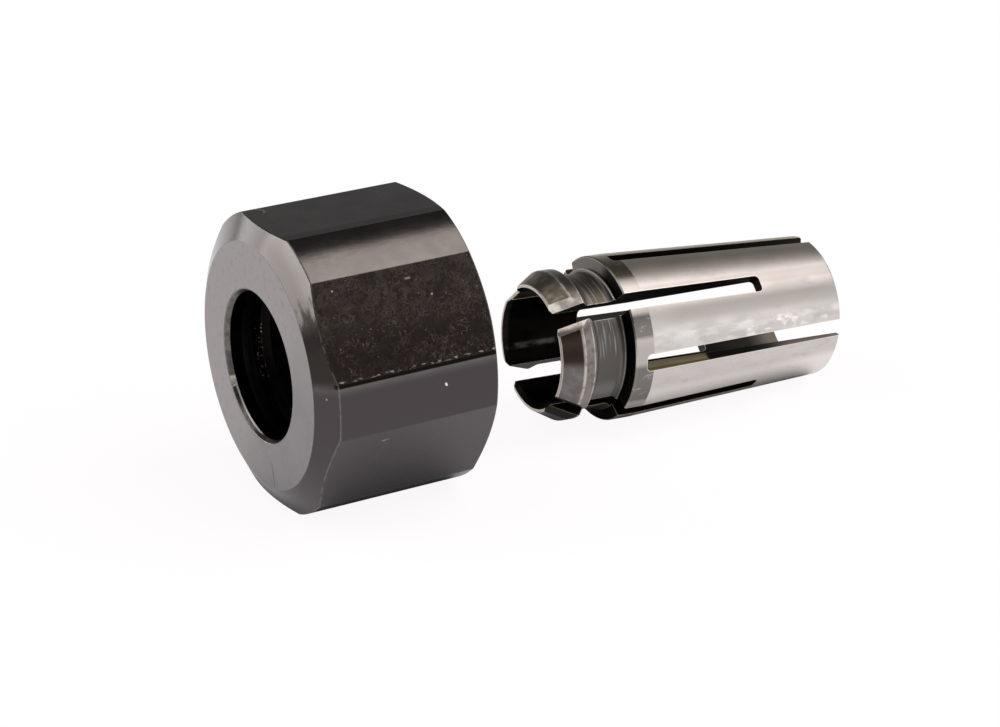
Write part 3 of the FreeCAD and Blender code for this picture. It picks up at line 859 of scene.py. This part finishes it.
# %% Collet: nose, crest and waist
hardened_nose, tree = empty_tree("hardened_steel_with_brown_skin")
place, depth, radius, angle, turned = measures(tree, *on_collet)
ragged = patches(tree, place, (0.35, 0.35, 0.35), 0.32, 0.58, detail=5.0)
edges = both(tree, worn_edges(tree, 0.08), ragged)
rings = patches(tree, turned, (0.10, 0.10, 0.35), 0.30, 0.70, detail=3.0)
waist = band(tree, depth, 2.62, 4.56, 0.08)
waist_lines = both(tree, band(tree, depth, 2.9, 4.2, 0.15), band(tree, angle, 5.0, 78.0, 10.0),
                   patches(tree, turned, (0.12, 2.0, 0.35), 0.48, 0.66, detail=3.0))
crest = band(tree, depth, 1.38, 2.24, 0.04)
crest_edges = both(tree, patches(tree, place, (0.5, 0.5, 0.5), 0.25, 0.55, detail=4.0),
                   add_node(tree, "ShaderNodeMath", {
                       0: band(tree, depth, 1.36, 1.44, 0.10),
                       1: band(tree, depth, 2.16, 2.26, 0.10),
                   }, operation="MAXIMUM"))
rim = band(tree, depth, -1.0, 0.05, 0.06)
# painted highlight: the back of the crest is coloured light
crest_back = band(tree, depth, 2.27, 2.60, 0.04)
top_jaw = band(tree, angle, -60.0, 38.0, 6.0)
# painted light: waist, crest and back of the crest are coloured lighter on the underside
painted_light_underside = band(tree, angle, 120.0, 160.0, 18.0)
brown = both(tree, band(tree, angle, 60.0, 82.0, 9.0), band(tree, depth, -1.0, 1.25, 0.15))
shoulder = band(tree, depth, 4.86, 5.03, 0.03)
# painted highlight: a light olive line along the shoulder's edge on the upper jaws
shoulder_edge_highlight = both(tree, band(tree, depth, 5.06, 5.20, 0.03), band(tree, angle, -40.0, 48.0, 6.0))
# painted shade: the undercut face below the shoulder is coloured near black
painted_shade_undercut = both(tree, shoulder, band(tree, angle, 18.0, 180.0, 14.0))
dark_corner = band(tree, depth, 4.34, 4.60, 0.12)
# painted highlight: the bead is coloured light on the top jaw
bead = band(tree, depth, 4.66, 4.78, 0.04)
smears = patches(tree, place, (1.0, 0.6, 0.6), 0.45, 0.65, detail=4.0)
colour = coats(
    tree, "#676260", (smears, "#74706e"), (top_jaw, "#6a6155"),
    (both(tree, top_jaw, smears), "#867e72"), (brown, "#372e2a"), (waist, "#585451"),
    (both(tree, waist, top_jaw), "#5e564c"), (both(tree, waist, painted_light_underside), "#7b7774"),
    (waist_lines, "#8b8785"), (crest_back, "#b3ada8"), (both(tree, crest_back, painted_light_underside), "#dfd9d3"),
    (dark_corner, "#5e5956"), (bead, "#6d6865"), (both(tree, bead, top_jaw), "#b5b0ab"),
    (shoulder, "#514d49"), (shoulder_edge_highlight, "#aba283"), (crest, "#67625f"),
    (both(tree, crest, ragged), "#7a7471"), (both(tree, crest, painted_light_underside), "#8e8884"),
    (crest_edges, "#b5aca5"), (rim, "#b3aaa2"),
    (edges, "#c6bcb3"), (painted_shade_undercut, "#0f0d0c"),
)
roughness = coats(
    tree, 0.34, (ragged, 0.40), (crest, 0.32), (waist, 0.40), (brown, 0.30), (painted_shade_undercut, 0.6),
)
metal(tree, colour, roughness, (rings, 0.0015), (waist_lines, -0.002), (ragged, 0.002),
      bare=coats(tree, 1.0, (crest_back, 0.65), (edges, 0.60), (painted_shade_undercut, 1.0)))

# %% [markdown]
# The bevels on the jaws are the brightest metal of all, since they rub on the snap lip, but are
# still brown where they run into the cone. The slots are dark brown with hardening oil. Their
# lower wall is painted light, darker olive towards its outer edge and light again near the tail,
# as painted light that comes in through the far slots. The bore is painted black with oil, as
# painted shade, lighter towards the open tail as painted light, and a painted highlight streak
# runs along it near the nose.

# %% Collet: jaw bevels, slot walls and bore
jaw_bevel, tree = empty_tree("steel_rubbed_bright_on_the_jaws")
place, depth, radius, angle, turned = measures(tree, *on_collet)
rubbed = patches(tree, place, (0.9, 0.9, 0.9), 0.35, 0.60, detail=3.0)
around = add_node(tree, "ShaderNodeMath", {0: angle}, operation="ABSOLUTE")
# the bevels of the lower jaws are coloured dark
darker_lower_jaws = band(tree, around, 104.0, 181.0, 12.0)
still_brown = band(tree, angle, 58.0, 80.0, 3.5)
colour = coats(tree, "#b6aba1", (rubbed, "#eee5dc"), (still_brown, "#6a6059"), (darker_lower_jaws, "#2f2a28"),
               (both(tree, worn_edges(tree, 0.08), band(tree, angle, -60.0, 54.0, 3.0)), "#f1e9e1"))
metal(tree, colour, coats(tree, 0.42, (rubbed, 0.34)), (rubbed, 0.002),
      bare=coats(tree, 0.75, (darker_lower_jaws, 1.0)))

slot_wall, tree = empty_tree("sawn_steel_brown_with_hardening_oil")
place, depth, radius, angle, turned = measures(tree, *on_collet)
saw_lines = patches(tree, place, (0.12, 1.5, 1.5), 0.30, 0.70, detail=3.0)
scorched = patches(tree, place, (1.8, 0.6, 0.6), 0.38, 0.62, detail=4.0)
slanted_depth = add_node(tree, "ShaderNodeMath", {0: radius, 1: 0.36, 2: depth}, operation="MULTIPLY_ADD")
# painted light: the slot's lower wall is coloured pale where light comes in, darker olive at its outer
# edge
painted_light = both(tree, band(tree, angle, 84.0, 102.0, 5.0), band(tree, slanted_depth, 6.9, 12.9, 0.3))
outer_edge = both(tree, painted_light, band(tree, radius, 5.35, 6.0, 0.3))
# painted light: the same wall is lighter again near the open tail
painted_light_at_tail = both(tree, band(tree, angle, 84.0, 102.0, 5.0), band(tree, depth, 18.5, 23.0, 3.0))
edges = worn_edges(tree, 0.09)
colour = coats(tree, "#231e1a", (painted_light, "#dcd2b2"), (both(tree, painted_light, scorched), "#c3b897"),
               (both(tree, painted_light, saw_lines), "#d0c6a5"), (outer_edge, "#857b45"),
               (painted_light_at_tail, "#a1988f"), (edges, "#c9be9f"))
metal(tree, colour, coats(tree, 0.45, (painted_light, 0.36)), (saw_lines, 0.002),
      bare=coats(tree, 1.0, (painted_light, 0.15), (painted_light_at_tail, 0.40), (edges, 0.40)))

# painted shade: the bore is coloured near black, with oil patches, and lighter towards the open tail as
# painted light
bore_wall, tree = empty_tree("bored_steel_oiled_and_painted_shade_black")
place, depth, radius, angle, turned = measures(tree, *on_collet)
rings = patches(tree, turned, (0.12, 0.12, 0.5), 0.30, 0.70, detail=3.0)
oil = patches(tree, place, (1.4, 0.7, 0.7), 0.40, 0.65, detail=4.0)
# painted highlight: a faint light streak along the bore near the nose, with a higher roughness
painted_highlight_streak = both(tree, band(tree, angle, -109.0, -107.0, 3.0), band(tree, depth, 0.8, 3.6, 0.8),
                   patches(tree, place, (0.9, 0.4, 0.4), 0.25, 0.70, detail=2.0))
painted_light = both(tree, band(tree, depth, 22.2, 23.0, 2.6), band(tree, angle, -175.0, -95.0, 12.0))
colour = coats(tree, "#1f1d1b", (oil, "#161412"), (painted_highlight_streak, "#7f7d7b"), (painted_light, "#55504b"),
               (worn_edges(tree, 0.10), "#837c75"))
metal(tree, colour, coats(tree, 0.40, (oil, 0.30), (painted_highlight_streak, 0.5)), (rings, 0.002), (oil, 0.002),
      bare=coats(tree, 1.0, (painted_light, 0.80)))

# %% [markdown]
# The collet's finishes are handed out in the same way. The slots' walls look round the axis, the
# bore looks towards it, and the bevels of the jaws lie between.

# %% Collet: which face has which finish
def outwards_share(middle, normal):
    """How much a face looks away from the axis: 1 outwards, 0 along or across, -1 inwards."""
    return (normal.y * middle.y + normal.z * middle.z) / max(ring_radius(middle), 0.001)


def sideways_share(middle, normal):
    """How much a face looks round the axis, as the walls of the slots do."""
    return abs(normal.z * middle.y - normal.y * middle.z) / max(ring_radius(middle), 0.001)


SHOULDER_FACE = 5.05
CREST_END = 2.3
BEHIND_THE_SHOULDER = 5.5
SHORT_OF_THE_TAIL = 17.0


def closes_a_slot(middle, normal):
    """Whether a face behind the shoulder, and not the tail's own, looks along the axis."""
    towards_nose = middle.x > BEHIND_THE_SHOULDER and normal.x < -0.3
    towards_tail = TAIL_SLOT_END - AT_AN_END < middle.x < SHORT_OF_THE_TAIL and normal.x > 0.3
    return towards_nose or towards_tail


paint(collet_body, ground_taper, lambda middle, normal: True)
paint(collet_body, hardened_nose, lambda middle, normal: middle.x < SHOULDER_FACE)
paint(collet_body, slot_wall, lambda middle, normal: sideways_share(middle, normal) > 0.5
      or closes_a_slot(middle, normal))
paint(collet_body, jaw_bevel, lambda middle, normal: middle.x < CREST_END
      and 0.2 < sideways_share(middle, normal) < 0.7 and outwards_share(middle, normal) > 0.3)
paint(collet_body, bore_wall, lambda middle, normal: outwards_share(middle, normal) < -0.5)

# %% [markdown]
# Shading comes next. Faces that meet at less than 30 degrees shade as one, and weighted normals
# let the faces marked strong rule, so that a narrow broken edge doesn't bend the light on its
# neighbours. They are weighted by corner angle, as by area Blender takes faces this small for
# none. At last each piece goes to its place in the frame, and the place into its mesh.

# %% Shade and place
SMOOTH_BELOW = math.radians(30)


def finish_shape(piece, place, rotation):
    """Smooths a piece, moves it from the axis to its place, and applies that place."""
    bpy.ops.object.select_all(action="DESELECT")
    piece.select_set(True)
    bpy.context.view_layer.objects.active = piece
    bpy.ops.object.shade_smooth_by_angle(angle=SMOOTH_BELOW)
    normals = piece.modifiers.new("strong_faces_rule", "WEIGHTED_NORMAL")
    normals.mode = "CORNER_ANGLE"
    normals.keep_sharp = True
    normals.use_face_influence = True
    bpy.ops.object.modifier_apply(modifier=normals.name)
    piece.rotation_euler = rotation
    piece.location = place
    bpy.ops.object.transform_apply(location=True, rotation=True, scale=True)
    print(piece.name, "size in mm:", [round(v / MM, 2) for v in piece.dimensions])


SLOTS_TURNED = math.radians(45)

collet_turn = (SLOTS_TURNED, COLLET_LEAN, COLLET_YAW)
finish_shape(nut_body, nut_face_centre, (0, 0, 0))
finish_shape(ridge, nut_face_centre, (0, 0, 0))
finish_shape(collet_body, collet_nose, collet_turn)

# %% [markdown]
# The set stands on a white sweep: a round sheet that curves up at its rim, so that a low camera
# sees no horizon. It starts as a filled circle, and its rim is extruded outwards and up in steps
# that follow a quarter of a circle.

# %% Sweep
FLOOR_DROP = 0.02 * MM  # the pieces stand at zero, just clear of the paper
FLOOR_RADIUS = 0.75
CURVE_RADIUS = 0.25
CURVE_STEPS = 8
SWEEP_FACETS = 96

bpy.ops.object.select_all(action="DESELECT")
bpy.ops.mesh.primitive_circle_add(
    vertices=SWEEP_FACETS, radius=FLOOR_RADIUS, fill_type="NGON", location=(0, 0, -FLOOR_DROP)
)
sweep_floor = bpy.context.object
sweep_floor.name = "white_sweep"
bpy.ops.object.mode_set(mode="EDIT")
bpy.ops.mesh.select_mode(type="EDGE")
bpy.ops.mesh.select_all(action="SELECT")
reach, height = FLOOR_RADIUS, 0.0
for step in range(1, CURVE_STEPS + 1):
    lean = math.radians(90) * step / CURVE_STEPS
    next_reach = FLOOR_RADIUS + CURVE_RADIUS * math.sin(lean)
    next_height = CURVE_RADIUS * (1 - math.cos(lean))
    bpy.ops.mesh.extrude_edges_move(
        TRANSFORM_OT_translate={"value": (0, 0, next_height - height)}
    )
    grow = next_reach / reach
    bpy.ops.transform.resize(value=(grow, grow, 1), center_override=(0, 0, 0))
    reach, height = next_reach, next_height
bpy.ops.object.mode_set(mode="OBJECT")
bpy.ops.object.transform_apply(location=True, rotation=True, scale=True)
bpy.ops.object.shade_smooth()
print("sweep:", len(sweep_floor.data.polygons), "faces, reach in m:", round(reach, 3))

# %% [markdown]
# White paper reflects nearly all light evenly. The camera is to see it as pure white, so for
# camera, glossy and transmission rays most of its light is its own. The rest is lit by the
# lamps, which keeps the soft shadow under the pieces. In reflections the paper gets dimmer where
# a piece stands close over it, and farther out, as the lamps stand close to the small set.

# %% Paper
PAPER = linear("#f2f2f2")
OWN_SHARE = 0.85
GLOW_FOR_CAMERA = 1.09
NEAR_GLOW, FAR_GLOW = 1.25, 0.45
FADES_FROM, FADES_TO = 0.15, 0.60  # metres from the middle
SHADE_REACH = 25 * MM
COVERED, OPEN = 0.12, 0.75

paper, tree = empty_tree("matt_white_paper")
rays = add_node(tree, "ShaderNodeLightPath").node
camera_or_glossy = add_node(tree, "ShaderNodeMath", {
    0: rays.outputs["Is Camera Ray"], 1: rays.outputs["Is Glossy Ray"],
}, operation="MAXIMUM")
seen = add_node(tree, "ShaderNodeMath", {
    0: camera_or_glossy, 1: rays.outputs["Is Transmission Ray"],
}, operation="MAXIMUM")
own_share = add_node(tree, "ShaderNodeMath", {0: seen, 1: OWN_SHARE}, operation="MULTIPLY")
from_middle = add_node(tree, "ShaderNodeVectorMath", {
    0: add_node(tree, "ShaderNodeTexCoord", out="Object"),
}, out="Value", operation="LENGTH")
reflected_glow = add_node(tree, "ShaderNodeMapRange", {
    "Value": from_middle, "From Min": FADES_FROM, "From Max": FADES_TO,
    "To Min": NEAR_GLOW, "To Max": FAR_GLOW,
})
openness = add_node(tree, "ShaderNodeAmbientOcclusion", {"Distance": SHADE_REACH}, samples=8).node
shaded = add_node(tree, "ShaderNodeMapRange", {
    "Value": openness.outputs["AO"], "From Min": COVERED, "From Max": OPEN,
}, interpolation_type="SMOOTHSTEP")
strength = add_node(tree, "ShaderNodeMix", {
    0: rays.outputs["Is Camera Ray"], 2: both(tree, reflected_glow, shaded), 3: GLOW_FOR_CAMERA,
}, data_type="FLOAT")
glow = add_node(tree, "ShaderNodeEmission", {"Color": linear("#fffdfe"), "Strength": strength})
lit = add_node(tree, "ShaderNodeBsdfDiffuse", {"Color": PAPER})
surface = add_node(tree, "ShaderNodeMixShader", {0: own_share, 1: lit, 2: glow})
add_node(tree, "ShaderNodeOutputMaterial", {"Surface": surface})
sweep_floor.data.materials.append(paper)

# %% [markdown]
# Metal shows its surroundings, so the lamps are placed by what they draw on it. A large box high
# on the right draws the bright band along the collet and on the nut's upper edge. A low one
# behind on the left lights the nut's chamfer. Weak ones high and in front on the left light the
# bevelled jaws, and a wide one stands by the camera. Brightness is what a mirror shows, so each is
# given by its radiance, and its power follows: that times pi and the box's area. The room is
# grey, and dark towards its ceiling, which leaves the black beside the bright bands.

# %% Lamps
def add_softbox(name, place, aim, size, radiance, colour="#ffffff"):
    """Rectangular area light of even brightness, aimed at a point, that the camera can't see."""
    bpy.ops.object.select_all(action="DESELECT")
    bpy.ops.object.light_add(type="AREA", location=place)
    lamp = bpy.context.object
    lamp.name = name
    lamp.rotation_mode = "QUATERNION"
    lamp.rotation_quaternion = (Vector(aim) - Vector(place)).to_track_quat("-Z", "Y")
    lamp.data.shape = "RECTANGLE"
    lamp.data.size, lamp.data.size_y = size
    lamp.data.energy = radiance * math.pi * size[0] * size[1]
    lamp.data.color = linear(colour)[:3]
    lamp.visible_camera = False
    print(name, "power in W:", round(lamp.data.energy, 3))


add_softbox("overhead_box", (0.24, -0.15, 0.45), (0, -0.01, 0.008), (0.41, 0.34), 2.7, "#fffaf6")
add_softbox("low_back_left_box", (-0.43, 0.40, 0.11), (-0.01, 0, 0.01), (0.66, 0.20), 3.5)
add_softbox("top_left_box", (-0.20, 0.09, 0.45), (0, 0, 0.01), (0.34, 0.32), 1.3)
add_softbox("camera_side_box", (0.40, -0.62, 0.22), (0, 0, 0.01), (0.90, 0.42), 1.1)
add_softbox("front_left_box", (-0.40, -0.62, 0.27), (0, 0, 0.01), (0.30, 0.24), 1.4)

ROOM_WALLS = 0.30
ROOM_CEILING = 0.08
WALL_TOP, CEILING_EDGE = 0.25, 0.65  # heights on a unit sphere round the set

world = bpy.data.worlds.new("grey_room")
world.use_nodes = True
tree = world.node_tree
towards = add_node(tree, "ShaderNodeSeparateXYZ", {0: add_node(tree, "ShaderNodeTexCoord")}).node
brightness = add_node(tree, "ShaderNodeMapRange", {
    "Value": towards.outputs["Z"], "From Min": WALL_TOP, "From Max": CEILING_EDGE,
    "To Min": ROOM_WALLS, "To Max": ROOM_CEILING,
}, interpolation_type="SMOOTHSTEP")
tree.nodes["Background"].inputs["Color"].default_value = (1, 1, 1, 1)
tree.links.new(brightness, tree.nodes["Background"].inputs["Strength"])
bpy.context.scene.world = world
bpy.context.scene.view_settings.view_transform = "Standard"

# %% [markdown]
# Last, each piece is tied to the body that it moves with, and stands for its CAD node. The two
# CAD nodes are kept, hidden.

# %% Hand over
for piece in (nut_body, ridge, collet_body):
    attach(piece, "root")
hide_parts("collet_nut")
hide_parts("spring_collet")
